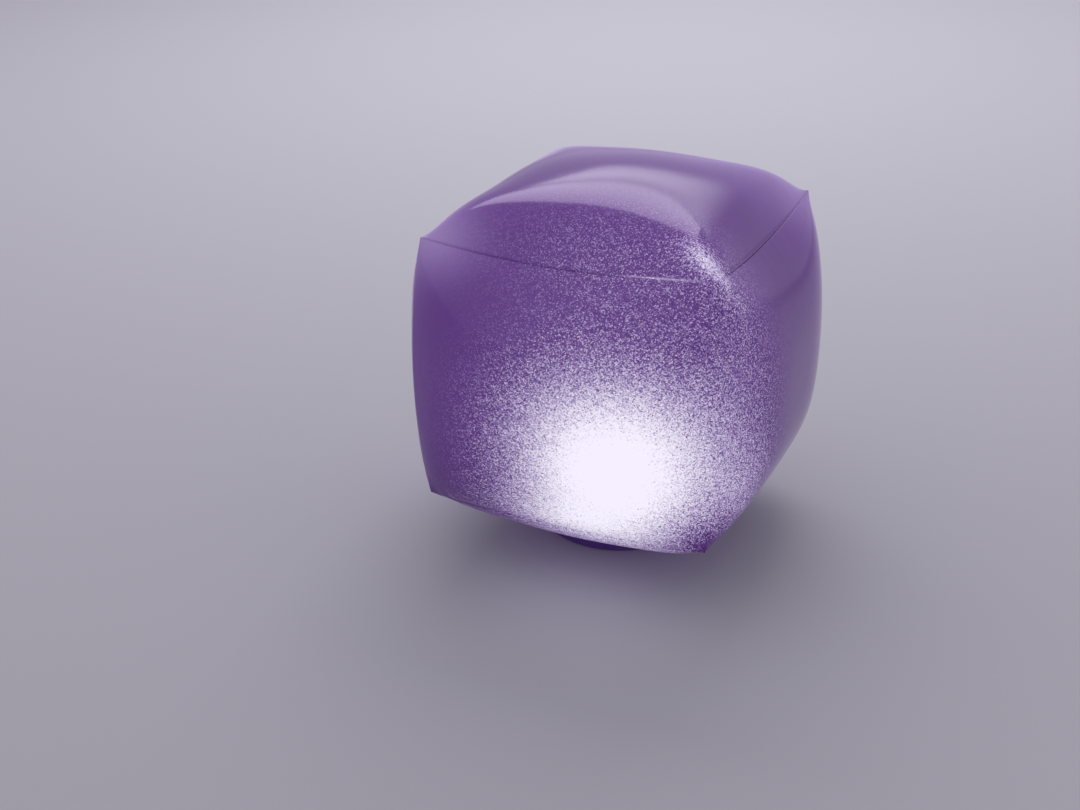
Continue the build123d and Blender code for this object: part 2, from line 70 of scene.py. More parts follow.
camera.data.clip_start, camera.data.clip_end = 0.01, 40
stand = (Vector((0, 0, CUBE_CENTRE)) + back * CAMERA_DISTANCE - across * CAMERA_ASIDE
         - aloft * CAMERA_LOWER)
camera.matrix_world = (Matrix.Translation(stand)
                       @ Matrix((across, aloft, back)).transposed().to_4x4())
bpy.context.scene.collection.objects.link(camera)
bpy.context.scene.camera = camera
bpy.context.scene.view_settings.view_transform = "Standard"


# ---- Envelope: six inflated panels ----------------------------------------
# Frosted violet PVC film, 0.3 mm thick, cut to six square-ish gores and welded
# along their edges by high frequency. Air swells each panel like a pillow and
# draws the level seams inwards between the corners.

MM = 0.001
CORNER_X, CORNER_Z = 88.7, 82.5     # a corner's place from the cube's centre, mm
SIDE_BULGE, TOP_BULGE, BOTTOM_BULGE = 26.3, 31.0, 33.9
POST_BOW, RIM_DRAW, TOP_DIP, BOTTOM_DROP = 5.3, 0.7, 6.8, 3.7
SIDE_FULLNESS = 0.892, -0.4, 0.687, 5.19      # as the shares in swelling
LID_FULLNESS = 0.434, 0.761, 0.432, 4.36
FILM = 0.3
FILM_REACH = 115                    # mm from the cube's centre to its film, roughly
GROOVE_WIDTH, GROOVE_DEPTH = 1.3, 0.4
PUCKER_REACH = 3.2                  # mm from a seam to its puckers' highest
TOP_PUCKER, SIDE_PUCKER, BOTTOM_PUCKER, POST_PUCKER = 0.07, 0.22, 0.2, 0.1    # mm high


def bow(t):
    """A parabola, 1 in the middle and 0 at both ends."""
    return 1 - t * t


def swelling(u, v, shares):
    """A pillow's height: both parabolas multiplied, and made fuller towards the
    seams by shares of the sums of the squares and of the fourth powers of u and v,
    and towards the corners by shares of those powers of u times v."""
    shoulder, brim, corner, tip = shares
    return bow(u) * bow(v) * (1 + shoulder * (u ** 2 + v ** 2) + brim * (u ** 4 + v ** 4)
                              + corner * (u * v) ** 2 + tip * (u * v) ** 4)


def side_surface(u, v, turns):
    """Side panel in mm from the cube's centre: along the width u and height v it
    stands off by the post's bow plus the bulge times the swelling, and its top and
    bottom edges sag by a parabola. turns is the quarter turns from the front."""
    half = CORNER_X + POST_BOW * bow(v)
    x = u * half
    y = (RIM_DRAW * bow(u) - half - (SIDE_BULGE - POST_BOW + RIM_DRAW)
         * swelling(u, v, SIDE_FULLNESS))
    z = ((1 + v) / 2 * (CORNER_Z - TOP_DIP * bow(u))
         - (1 - v) / 2 * (CORNER_Z + BOTTOM_DROP * bow(u)))
    for _ in range(turns):
        x, y = -y, x
    return np.stack([x, y, z], -1)


def lid_surface(u, v, upper):
    """Top or bottom panel in mm from the cube's centre: the four sagging seams
    carried across, plus the bulge times the swelling."""
    x = u * (CORNER_X - RIM_DRAW * bow(v))
    y = v * (CORNER_X - RIM_DRAW * bow(u))
    height = swelling(u, v, LID_FULLNESS)
    if upper:
        z = CORNER_Z - TOP_DIP * (bow(u) + bow(v)) + (TOP_BULGE + 2 * TOP_DIP) * height
    else:
        z = -(CORNER_Z + BOTTOM_DROP * (bow(u) + bow(v))
              + (BOTTOM_BULGE - 2 * BOTTOM_DROP) * height)
    return np.stack([x, y, z], -1)


def pucker(along, away, phase):
    """A seam's puckers as a share of their height: two sines along it, rising from
    nothing at the weld to their full height a few mm away and dying out beyond."""
    rise = away / PUCKER_REACH * np.exp(1 - away / PUCKER_REACH)
    return rise * (0.6 * np.sin(along / 1.9 + phase + 0.9 * np.sin(along / 11))
                   + 0.4 * np.sin(along / 1.15 + 2.3 * phase))


def welded_edges(points, u, v, below, above, phase, side_posts=False):
    """Draws a panel's last millimetre in towards the cube's centre by a parabola,
    so that two such edges meet as a weld's fine groove, a fifth as deep midway up a
    post. Puckers the film along the v = -1 and v = 1 edges by the heights below and
    above: about a third of them midway, and all towards the corners by the cube of u.
    Gives the points and their distances from the nearest weld, in mm."""
    side_gap, end_gap = (1 - abs(u)) * CORNER_X, (1 - abs(v)) * CORNER_Z
    edge = np.minimum(side_gap, end_gap)
    near = np.clip(1 - edge / GROOVE_WIDTH, 0, 1)
    corners = 0.35 + 0.65 * abs(u) ** 3
    posts = np.where((side_gap < end_gap) & side_posts, 0.2 + 0.8 * abs(v) ** 3, 1)
    shift = -GROOVE_DEPTH * near ** 2 * posts
    for height, gap, lag in ((below, (1 + v) * CORNER_Z, 0), (above, (1 - v) * CORNER_Z, 1.7)):
        shift = shift + height * corners * pucker(u * CORNER_X, gap, phase + lag) * (
            1 - np.exp(-side_gap / 4))
    shift = shift + POST_PUCKER * pucker(v * CORNER_Z, side_gap, phase + 3) * abs(v) ** 4 * (
        1 - np.exp(-end_gap / 4))
    return points * (1 + shift / FILM_REACH)[..., None], edge


def closer_at_edges(count):
    """Parameter steps from -1 to 1, about four times finer at the edges than midway:
    a straight share plus a quarter-sine share."""
    t = np.linspace(-1, 1, count)
    return 0.32 * t + 0.68 * np.sin(t * math.pi / 2)


def grid_faces(rows, columns):
    """Quads of a rows x columns grid, wound so that u cross v points outwards."""
    index = np.arange(rows * columns).reshape(rows, columns)
    return np.stack([index[:-1, :-1], index[1:, :-1], index[1:, 1:], index[:-1, 1:]],
                    -1).reshape(-1, 4)


def smooth_object(name, points, faces, wall=0.0):
    """A smooth-shaded mesh from points in mm from the cube's centre, with a wall of
    the given mm added inwards."""
    mesh = bpy.data.meshes.new(name)
    mesh.from_pydata((points.reshape(-1, 3) * MM + [0, 0, CUBE_CENTRE]).tolist(), [],
                     faces.tolist())
    mesh.polygons.foreach_set("use_smooth", np.ones(len(mesh.polygons), bool))
    mesh.update()
    piece = bpy.data.objects.new(name, mesh)
    bpy.context.scene.collection.objects.link(piece)
    if wall:
        solid = piece.modifiers.new("wall", "SOLIDIFY")
        solid.thickness, solid.offset, solid.use_even_offset = wall * MM, -1, False
    return piece


def note_seam(piece, edge):
    """Keeps each point's distance from the nearest weld, in mm, for the material."""
    seam = piece.data.attributes.new("seam_mm", "FLOAT", "POINT")
    seam.data.foreach_set("value", edge.ravel().astype(np.float32))


STEPS = 181
POST_FADE = 0.8                     # mm added to the posts' distance from the weld
u, v = np.meshgrid(closer_at_edges(STEPS), closer_at_edges(STEPS), indexing="ij")
panels = []
for turns, name in enumerate(["front", "right", "back", "left"]):
    points, edge = welded_edges(side_surface(u, v, turns), u, v, SIDE_PUCKER, TOP_PUCKER,
                                1.3 * turns, side_posts=True)
    panels.append(smooth_object(f"{name}_skin", points, grid_faces(STEPS, STEPS), FILM))
    # midway up a post the weld is so fine that it hardly darkens the film
    note_seam(panels[-1], edge + POST_FADE * (abs(u) > abs(v)) * bow(v) ** 0.5)
    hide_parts(f"{name}_panel")
points, edge = welded_edges(lid_surface(u, v, True), u, v, TOP_PUCKER, TOP_PUCKER, 0.4)
panels.append(smooth_object("top_skin", points, grid_faces(STEPS, STEPS), FILM))
note_seam(panels[-1], edge)
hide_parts("top_panel")

# The bottom panel has two round holes punched in it, one for the light's socket
# and one for the air valve: grid points inside a hole's rim are moved out to it.
COLLAR_HOLE = 47.1
VALVE_HOLE = 9.0
valve_point = np.array([-50.964, 50.964, 16.955 - CUBE_CENTRE / MM])
valve_axis = np.array([-0.247032, 0.247032, -0.93699])      # square to the panel there


def off_axis(points, point, axis):
    """Each point's arm from a hole's axis, square to it."""
    arm = points - point
    return arm - (arm @ axis)[..., None] * axis


def on_bottom(target, u, v, point, axis):
    """Moves u and v until their points on the bottom panel stand off the axis by
    the target arms, by a few steps of the difference over the panel's half width."""
    for _ in range(12):
        step = target - off_axis(lid_surface(u, v, False), point, axis)
        u, v = u + step[..., 0] / CORNER_X, v + step[..., 1] / CORNER_X
    return u, v


u, v = np.meshgrid(closer_at_edges(STEPS), -closer_at_edges(STEPS), indexing="ij")
u, v = u.ravel(), v.ravel()
faces = grid_faces(STEPS, STEPS)
upright_axis = np.array([0.0, 0.0, 1.0])
for point, axis, radius in [(np.zeros(3), upright_axis, COLLAR_HOLE),
                            (valve_point, valve_axis, VALVE_HOLE)]:
    reach = np.linalg.norm(off_axis(lid_surface(u, v, False), point, axis), axis=1)
    inside = reach < radius - 1e-6
    faces = faces[~inside[faces].all(1)]
    rim = np.zeros(len(u), bool)
    rim[faces.ravel()] = True
    rim &= inside
    arm = off_axis(lid_surface(u[rim], v[rim], False), point, axis)
    target = arm * (radius / np.linalg.norm(arm, axis=1))[:, None]
    u[rim], v[rim] = on_bottom(target, u[rim], v[rim], point, axis)
used, faces = np.unique(faces, return_inverse=True)
u, v, faces = u[used], v[used], faces.reshape(-1, 4)
points, edge = welded_edges(lid_surface(u, v, False), u, v, BOTTOM_PUCKER, BOTTOM_PUCKER, 2.1)
panels.append(smooth_object("bottom_skin", points, faces, FILM))
note_seam(panels[-1], edge)
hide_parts("bottom_panel")
for panel in panels:
    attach(panel, "envelope")


def linear(code):
    """An sRGB hex colour as linear red, green, blue and 1."""
    parts = [int(code[i:i + 2], 16) / 255 for i in (1, 3, 5)]
    return [c / 12.92 if c <= 0.04045 else ((c + 0.055) / 1.055) ** 2.4 for c in parts] + [1]


def add(tree, kind, inputs=(), **settings):
    """Adds one node. settings are its properties; inputs are the values or links of
    its first sockets, or a dictionary of them by socket."""
    made = tree.nodes.new("ShaderNode" + kind)
    for key, value in settings.items():
        setattr(made, key, value)
    by_socket = inputs if isinstance(inputs, dict) else dict(enumerate(inputs))
    for key, value in by_socket.items():
        if isinstance(value, bpy.types.NodeSocket):
            tree.links.new(value, made.inputs[key])
        else:
            made.inputs[key].default_value = value
    return made


def new_material(name, colour, roughness, **numbers):
    """A material with its Principled shader on the output, and its steady numbers."""
    material = bpy.data.materials.new(name)
    material.use_nodes = True
    tree = material.node_tree
    tree.nodes.clear()
    shader = add(tree, "BsdfPrincipled", {"Base Color": linear(colour), "Roughness": roughness})
    for key, value in numbers.items():
        shader.inputs[key.replace("_", " ")].default_value = value
    add(tree, "OutputMaterial", {"Surface": shader.outputs[0]})
    return material, tree, shader


def dress(node, material):
    """Puts a material on every slot of a CAD node."""
    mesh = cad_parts[node].data
    if not mesh.materials:
        mesh.materials.append(material)
    for i in range(len(mesh.materials)):
        mesh.materials[i] = material


# Frosted violet PVC film: dyed through, matt inside and glossy outside, so it
# mirrors a lamp as a clear band and yet spreads the light from within. That light
# is a painted glow: each wall glows white where it is seen against the lamp, breaks
# up into fine sparks further out as the frosting's grains catch the light, and is a
# deep violet beyond.
#
# A painted glow is a bell curve: its place in mm from the middle of the floor, its
# turn in degrees, its spread in mm along its own three directions, and its strength,
# which is negative, as painted shade, where the lamp's light doesn't reach.
PAINTED_LIGHT_LOBES = [
    ((38, -113, 91), (0, 0, 0), (36, 40, 36), 1.03),        # the lamp through the front
    ((66, -108, 110), (0, 0, 0), (26, 30, 30), 0.15),       # its halo, up to the right
    ((10, -100, 46), (0, 0, 0), (28, 26, 15), 0.4),         # its foot along the bottom seam
    ((105, -76, 78), (0, 0, 0), (12, 18, 18), 0.13),        # round the front right post
    ((98, -80, 150), (0, 0, 0), (24, 22, 42), 0.07),
    # Painted highlights, the next three: a softbox's reflection as a streak of sparks over the
    # top front corner, its end on the right panel and a faint glow round it.
    ((79, -79, 211), (0, 28.8, -17.9), (12, 4.5, 5), 0.38),  # a streak over the top corner
    ((95, -77, 193), (0, 58, 32.8), (11, 5, 6), 0.06),      # its end on the right panel
    ((80, -82, 194), (0, 0, 0), (16, 12, 16), 0.03),
    ((30, -80, 206), (0, 0, 0), (42, 24, 24), 0.06),        # across the top front seam
    # Painted shade: this negative glow keeps the bottom right corner dark.
    ((86, -96, 46), (0, 0, 0), (16, 24, 13), -0.15),        # the bottom corner stays dark
    ((-41, 113, 95), (0, 0, 0), (36, 40, 36), 0.9),         # the lamp through the back
    # Painted highlight: the same streak over the back top corner.
    ((-79, 79, 211), (0, 28.8, 162.1), (12, 4.5, 5), 0.4),  # the back corner's streak
    ((-113, 32, 88), (0, 0, 0), (30, 30, 32), 0.75),        # the lamp through the left
    ((-96, 88, 90), (0, 0, 0), (30, 30, 40), 0.12),
]
# Painted light as well: a smoother painted glow of the lamp inside the film.
PAINTED_SMOOTH_GLOWS = [      # the same for the smooth violet light inside the film
    ((0, -80, 160), (0, 0, 0), (105, 60, 80), 0.066),       # front and top
    ((0, 80, 160), (0, 0, 0), (105, 60, 80), 0.066),        # back and top
    # Painted light: the next two lobes make the top corners lighter.
    ((-84, -88, 208), (0, 0, 0), (20, 20, 16), 0.17),       # front left top corner
    ((88, 84, 206), (0, 0, 0), (26, 26, 18), 0.1),          # back right top corner
    # Painted highlight: a thin glint along the top front weld.
    ((54, -88.4, 201.5), (0, -4.7, 0), (14, 0.8, 0.35), 0.5),   # in the top front weld
    ((-10, 78, 222), (0, 0, 0), (80, 40, 16), 0.17),        # along the top's back edge
    ((0, 0, 8), (0, 0, 0), (58, 58, 14), 0.12),             # round the light's base
]
BRIGHTEST = 0.87                     # where the film's light stops rising
GRAIN = 0.64                         # mm; the frosting's own grains are about 0.1 mm
vinyl, tree, shader = new_material("frosted_violet_pvc_film_painted_glow", "#4E2A70", 0.14,
                                   Specular_Tint=(0.85, 0.68, 1.0, 1.0))
place = add(tree, "TexCoord").outputs["Object"]


def bells(tree, place, lobes):
    """The sum of bell curves: a lobe's strength times e to minus half the square of
    the distance from its place, counted in spreads along its turned directions."""
    total = 0.0
    for centre, turn, spread, strength in lobes:
        local = add(tree, "Mapping", {"Vector": place, "Location": [c * MM for c in centre],
                                      "Rotation": [math.radians(a) for a in turn],
                                      "Scale": [s * MM for s in spread]},
                    vector_type="TEXTURE").outputs[0]
        square = add(tree, "VectorMath", {0: local, 1: local},
                     operation="DOT_PRODUCT").outputs["Value"]
        drop = add(tree, "Math", [square, -0.5], operation="MULTIPLY").outputs[0]
        bell = add(tree, "Math", [drop], operation="EXPONENT").outputs[0]
        total = add(tree, "Math", [bell, strength, total], operation="MULTIPLY_ADD").outputs[0]
    return total


glow = bells(tree, place, PAINTED_LIGHT_LOBES)
even = bells(tree, place, PAINTED_SMOOTH_GLOWS)
frost = add(tree, "TexVoronoi", {"Vector": place, "Scale": 1 / GRAIN / MM}).outputs
spark = add(tree, "SeparateColor", [frost["Color"]]).outputs[0]
# The weaker the glow, the fewer grains catch it: a grain's share is its random
# number to a power that grows as the glow fades, times that power plus one, which
# keeps the mean. Each grain is also brighter in its middle.
glow_left = add(tree, "Math", [glow, 0.002], operation="MAXIMUM").outputs[0]
faint = add(tree, "Math", [glow_left, -0.7], operation="POWER").outputs[0]
power = add(tree, "Math", [faint, 0.7, -0.65], operation="MULTIPLY_ADD").outputs[0]
power = add(tree, "Math", [power, 0.0], operation="MAXIMUM").outputs[0]
power = add(tree, "Math", [power, 4.0], operation="MINIMUM").outputs[0]
caught = add(tree, "Math", [spark, power], operation="POWER").outputs[0]
mean_kept = add(tree, "Math", [power, 1.0], operation="ADD").outputs[0]
grain = add(tree, "Math", [caught, mean_kept], operation="MULTIPLY").outputs[0]
middle = add(tree, "MapRange",
             {0: frost["Distance"], 1: 0.15, 2: 0.8, 3: 0.35, 4: -0.35}).outputs[0]
broken_up = add(tree, "Math", [power, 1.0], operation="MINIMUM").outputs[0]
middle = add(tree, "Math", [middle, broken_up, 1.0], operation="MULTIPLY_ADD").outputs[0]
grain = add(tree, "Math", [grain, middle], operation="MULTIPLY").outputs[0]
light = add(tree, "Math", [glow, grain, even], operation="MULTIPLY_ADD").outputs[0]
light = add(tree, "Math", [light, BRIGHTEST], operation="MINIMUM").outputs[0]
# A weld is two films thick, so it is darker, and lets less light through.
seam = add(tree, "Attribute", attribute_name="seam_mm").outputs["Fac"]
shaded = add(tree, "MapRange", {0: seam, 1: 0.15, 2: 0.8, 3: 0.8, 4: 1.0}).outputs[0]
light = add(tree, "Math", [light, shaded], operation="MULTIPLY").outputs[0]
# Weak light comes out violet from the dye and strong light nearly white. The
# ramp's tints are halved to fit it, and the strength of 2 makes up for that.
tint = add(tree, "ValToRGB", {0: light})
for position, colour in ((0.03, (0.5, 0.15, 0.95)), (0.1, (0.5, 0.3, 0.8)),
                         (0.25, (0.5, 0.405, 0.675)), (0.65, (0.5, 0.485, 0.53))):
    stop = tint.color_ramp.elements.new(position)
    stop.color = colour + (1,)
for end in (0, -1):
    tint.color_ramp.elements.remove(tint.color_ramp.elements[end])
lit = add(tree, "VectorMath", {0: tint.outputs[0], "Scale": light},
          operation="SCALE").outputs[0]
# The painted glow goes out as the film's emission.
tree.links.new(lit, shader.inputs["Emission Color"])
shader.inputs["Emission Strength"].default_value = 2
# The dye is faintly cloudy, and the blown-up film has a slight ripple.
dye = add(tree, "TexNoise", {"Vector": place, "Scale": 45.0, "Detail": 2.0}).outputs[0]
body = add(tree, "Mix", {0: dye, 6: linear("#4C296E"), 7: linear("#56307B")},
           data_type="RGBA").outputs[2]
weld = add(tree, "MapRange", {0: seam, 1: 0.15, 2: 0.7, 3: 0.45, 4: 0.0}).outputs[0]
body = add(tree, "Mix", {0: weld, 6: body, 7: linear("#2E1548")}, data_type="RGBA").outputs[2]
tree.links.new(body, shader.inputs["Base Color"])
ripple = add(tree, "TexNoise", {"Vector": place, "Scale": 90.0, "Detail": 1.0}).outputs[0]
bump = add(tree, "Bump", {"Height": ripple, "Strength": 0.5, "Distance": 0.08 * MM})
tree.links.new(bump.outputs[0], shader.inputs["Normal"])
for panel in panels:
    panel.data.materials.append(vinyl)


# ---- Weld flanges ------------------------------------------------------------
# Along each seam the two sheets turn inwards and are welded flat together by a
# ribbed electrode, a strip 3 mm deep and two films thick that stiffens the seam.

FLANGE_START, FLANGE_DEPTH, FLANGE_WALL, FLANGE_SPAN = 0.8, 3.2, 0.6, 0.955
RIB_HEIGHT, RIB_PITCH = 0.07, 2.4    # mm
t, w = np.meshgrid(np.linspace(-FLANGE_SPAN, FLANGE_SPAN, 261), np.linspace(0, 1, 7),
                   indexing="ij")
post = CORNER_X + POST_BOW * bow(t)
rim = CORNER_X - RIM_DRAW * bow(t)
seams = [np.stack(line, -1) for line in (
    (post, -post, CORNER_Z * t),
    (CORNER_X * t, -rim, CORNER_Z - TOP_DIP * bow(t)),
    (CORNER_X * t, -rim, -CORNER_Z - BOTTOM_DROP * bow(t)))]
strips, strip_faces = [], []
for line in seams:
    # from the seam towards the cube's centre by the setback plus a share of the
    # depth, with the electrode's ribs as a sine along it
    away = FLANGE_START + FLANGE_DEPTH * w
    strip = line * (1 - away / np.linalg.norm(line, axis=-1))[..., None]
    run = np.gradient(strip, axis=0)
    side = np.cross(run, line)
    side /= np.linalg.norm(side, axis=-1, keepdims=True)
    ribs = RIB_HEIGHT * np.sin(t * CORNER_X * math.tau / RIB_PITCH) * np.sin(w * math.pi)
    strip = strip + side * ribs[..., None]
    for turns in range(4):
        strip_faces.append(grid_faces(*t.shape) + sum(len(s) for s in strips))
        strips.append(strip.reshape(-1, 3))
        strip = np.stack([-strip[..., 1], strip[..., 0], strip[..., 2]], -1)
welds = smooth_object("weld_strips", np.concatenate(strips), np.concatenate(strip_faces),
                      FLANGE_WALL)
welds.modifiers["wall"].offset = 0
note_seam(welds, np.full(len(welds.data.vertices), 5.0))     # no dark line on the strips
welds.data.materials.append(vinyl)
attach(welds, "envelope")
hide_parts("weld_flanges")


# ---- Socket: collar and clear cup ----------------------------------------------
# A soft PVC collar, injection moulded, is welded inside the bottom panel's hole. A
# cup of clear film is welded on top of it, so that the light can be pulled out of
# the cube and the air stays in.

COLLAR_OUTER, COLLAR_INNER, COLLAR_FOOT, COLLAR_TOP = 46.8, 45.3, 9.7, 19.8
COLLAR_FLANGE, COLLAR_FLANGE_WALL = 54.8, 1.2
COLLAR_ROUNDING = 0.45
COLLAR_OVERLAP = 0.6                 # mm that its ring reaches into its tube
RING_BULGE = 0.25                    # mm that a ring's two rims stand out
ROUND_STEPS = 160
WELD_GAP = 0.6                       # mm from a panel's outer face to what is inside it
CUP_RADIUS, CUP_SHOULDER, CUP_TOP, CUP_CORNER, CUP_FILM = 46.1, 24.0, 33.2, 4.8, 0.8
floor_level = -CUBE_CENTRE / MM      # the floor, in mm from the cube's centre


def ring_faces(rows, columns, closed=True):
    """Quads of a grid whose columns go round, and whose rows do so too if closed."""
    index = np.arange(rows * columns).reshape(rows, columns)
    nxt = np.roll(index, -1, 1)
    up, up_nxt = np.roll(index, -1, 0), np.roll(nxt, -1, 0)
    quads = np.stack([index, nxt, up_nxt, up], -1)
    return (quads if closed else quads[:-1]).reshape(-1, 4)


def facing_out(points, faces, centre):
    """The faces, turned round if on average they look towards the centre."""
    p = points.reshape(-1, 3)[faces]
    normal = np.cross(p[:, 2] - p[:, 0], p[:, 3] - p[:, 1])
    if ((p.mean(1) - centre) * normal).sum() < 0:
        return faces[:, ::-1]
    return faces


def lathe(profile, steps):
    """A profile of radius and height in mm carried round the upright axis: each
    point turns through the angle of its column."""
    angle = np.arange(steps) * math.tau / steps
    r, z = profile[:, :1], profile[:, 1:]
    return np.stack([r * np.cos(angle), r * np.sin(angle),
                     np.broadcast_to(z + floor_level, (len(profile), steps))], -1)


def lip(radius_in, radius_out, low, high, round_off):
    """A wall's section as a closed loop of radius and height: a rectangle whose
    corners are quarter circles of 5 steps."""
    arc = np.linspace(0, math.pi / 2, 6)
    loop = []
    for k, (r, z) in enumerate([(radius_out - round_off, high - round_off),
                                (radius_in + round_off, high - round_off),
                                (radius_in + round_off, low + round_off),
                                (radius_out - round_off, low + round_off)]):
        turn = arc + k * math.pi / 2
        loop.append(np.stack([r + round_off * np.cos(turn), z + round_off * np.sin(turn)], -1))
    return np.concatenate(loop)


def hole_ring(point, axis, inner, outer, wall, steps):
    """A flat ring welded inside the bottom panel round a hole: its outer face is the
    panel's own surface drawn in by the weld's gap, its inner face lies a wall's
    thickness further in, and both rims bulge out between them."""
    first = np.cross(axis, [0.0, 1.0, 0.0])
    first /= np.linalg.norm(first)
    second = np.cross(axis, first)
    reach = np.linspace(inner, outer, 9)
    radius = np.concatenate([reach, [outer + RING_BULGE], reach[::-1], [inner - RING_BULGE]])
    depth = WELD_GAP + wall * np.concatenate([np.zeros(9), [0.5], np.ones(9), [0.5]])
    angle = np.arange(steps) * math.tau / steps
    way = np.cos(angle)[:, None] * first + np.sin(angle)[:, None] * second
    arm = radius[:, None, None] * way
    u, v = on_bottom(arm, np.full(arm.shape[:2], point[0] / CORNER_X),
                     np.full(arm.shape[:2], point[1] / CORNER_X), point, axis)
    return lid_surface(u, v, False) * (1 - depth / FILM_REACH)[:, None, None]


moulded, tree, shader = new_material("satin_moulded_soft_pvc", "#6D4A94", 0.42)
# Soft PVC from a mould: satin, faintly cloudy, with the mould's fine matt grain of
# about 0.1 mm, which is drawn 0.6 mm wide to show.
place = add(tree, "TexCoord").outputs["Object"]
cloud = add(tree, "TexNoise", {"Vector": place, "Scale": 160.0, "Detail": 3.0}).outputs[0]
tone = add(tree, "Mix", {0: cloud, 6: linear("#63418A"), 7: linear("#77539E")},
           data_type="RGBA").outputs[2]
tree.links.new(tone, shader.inputs["Base Color"])
tree.links.new(add(tree, "MapRange", {0: cloud, 3: 0.34, 4: 0.5}).outputs[0],
               shader.inputs["Roughness"])
matt = add(tree, "TexNoise", {"Vector": place, "Scale": 1800.0, "Detail": 1.0}).outputs[0]
bump = add(tree, "Bump", {"Height": matt, "Strength": 0.5, "Distance": 0.04 * MM})
tree.links.new(bump.outputs[0], shader.inputs["Normal"])

profile = lip(COLLAR_INNER, COLLAR_OUTER, COLLAR_FOOT, COLLAR_TOP, COLLAR_ROUNDING)
tube = lathe(profile, ROUND_STEPS)
brim = hole_ring(np.zeros(3), upright_axis, COLLAR_OUTER - COLLAR_OVERLAP,
                 COLLAR_FLANGE - RING_BULGE, COLLAR_FLANGE_WALL, ROUND_STEPS)
tube_faces = facing_out(tube, ring_faces(*tube.shape[:2]), 0)
brim_faces = facing_out(brim, ring_faces(*brim.shape[:2]), 0)
collar = smooth_object("socket_collar_moulding",
                       np.concatenate([tube.reshape(-1, 3), brim.reshape(-1, 3)]),
                       np.concatenate([tube_faces, brim_faces + tube.size // 3]))
collar.data.materials.append(moulded)
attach(collar, "envelope")
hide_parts("socket_collar")

# The cup: an upright side, a round shoulder tangent to both, and a shallow dome.
rise = CUP_TOP - CUP_SHOULDER
dome = (CUP_RADIUS ** 2 + rise ** 2) / (2 * rise)
turn_r = CUP_RADIUS - CUP_CORNER
turn_z = CUP_TOP - dome + math.sqrt((dome - CUP_CORNER) ** 2 - turn_r ** 2)
lean = math.atan2(turn_z - CUP_TOP + dome, turn_r)
bend = np.linspace(0, lean, 12)
crest = np.linspace(lean, math.pi / 2, 40)[1:]
cup_profile = np.concatenate([
    np.stack([np.full(8, CUP_RADIUS), np.linspace(COLLAR_TOP, turn_z, 9)[:-1]], -1),
    np.stack([turn_r + CUP_CORNER * np.cos(bend), turn_z + CUP_CORNER * np.sin(bend)], -1),
    np.stack([np.maximum(dome * np.cos(crest), 0.02),
              CUP_TOP - dome + dome * np.sin(crest)], -1)])
cup = lathe(cup_profile, ROUND_STEPS)
cup_faces = facing_out(cup, ring_faces(*cup.shape[:2], closed=False), [0, 0, floor_level])
pocket = smooth_object("light_cup", cup, cup_faces, CUP_FILM)
clear, tree, shader = new_material("clear_pvc_film", "#DAD2EE", 0.12, Alpha=0.35)
# Clear film, faintly violet and a little wavy, so that its gloss breaks up.
place = add(tree, "TexCoord").outputs["Object"]
wave = add(tree, "TexNoise", {"Vector": place, "Scale": 120.0, "Detail": 1.0}).outputs[0]
tone = add(tree, "Mix", {0: wave, 6: linear("#D2C8EA"), 7: linear("#E2DCF2")},
           data_type="RGBA").outputs[2]
tree.links.new(tone, shader.inputs["Base Color"])
bump = add(tree, "Bump", {"Height": wave, "Strength": 0.6, "Distance": 0.3 * MM})
tree.links.new(bump.outputs[0], shader.inputs["Normal"])
pocket.data.materials.append(clear)
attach(pocket, "envelope")
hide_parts("light_pocket")


# ---- Air valve -----------------------------------------------------------------
# Moulded of the same soft PVC: a ring welded inside the panel, a thin web that
# rolls in and out, and the stem with its flap and its plug on a strap.

VALVE_FLANGE, VALVE_FLANGE_WALL = 14.0, 0.8
WEB_TOP, WEB_FOOT, WEB_OUTER, WEB_INNER, WEB_FILM = -0.7, -12.4, 8.2, 5.85, 0.5
WEB_SWELL = 0.35                     # mm
VALVE_STEPS = 96

ring = hole_ring(valve_point, valve_axis, VALVE_HOLE - RING_BULGE,
                 VALVE_FLANGE - RING_BULGE, VALVE_FLANGE_WALL, VALVE_STEPS)
valve_ring = smooth_object("valve_ring", ring, facing_out(ring, ring_faces(*ring.shape[:2]), 0))
# The web: its radius goes from the ring's to the stem's by a smooth step plus one
# wave of a sine, while its level goes evenly from the panel to the foot.
share = np.linspace(0, 1, 40)
step = share * share * (3 - 2 * share)
web_radius = (WEB_OUTER + (WEB_INNER - WEB_OUTER) * step
              + WEB_SWELL * np.sin(share * math.tau))
web_level = WEB_TOP + (WEB_FOOT - WEB_TOP) * share
angle = np.arange(VALVE_STEPS) * math.tau / VALVE_STEPS
valve_x = np.cross(valve_axis, [0.0, 1.0, 0.0])
valve_x /= np.linalg.norm(valve_x)
valve_y = np.cross(valve_axis, valve_x)
web = (valve_point + web_level[:, None, None] * valve_axis
       + web_radius[:, None, None] * (np.cos(angle)[:, None] * valve_x
                                      + np.sin(angle)[:, None] * valve_y))
valve_web = smooth_object(
    "valve_rolling_web", web, facing_out(web, ring_faces(*web.shape[:2], closed=False),
                                         valve_point + WEB_FOOT / 2 * valve_axis), WEB_FILM)
valve_web.modifiers["wall"].offset = 0
for piece, node in ((valve_ring, "valve_flange"), (valve_web, "valve_web")):
    piece.data.materials.append(moulded)
    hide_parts(node)
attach(valve_ring, "envelope")
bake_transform(valve_web)
for node in ("valve_stem", "valve_flap", "valve_plug"):
    dress(node, moulded)


# ---- Light puck: housing and lens ------------------------------------------------
# A round housing injection moulded in violet ABS, with a matt spark-eroded finish
# outside, closed by a frosted lens on a silicone ring. It pushes into the socket.

shell, tree, shader = new_material("spark_eroded_violet_abs", "#43246A", 0.5)
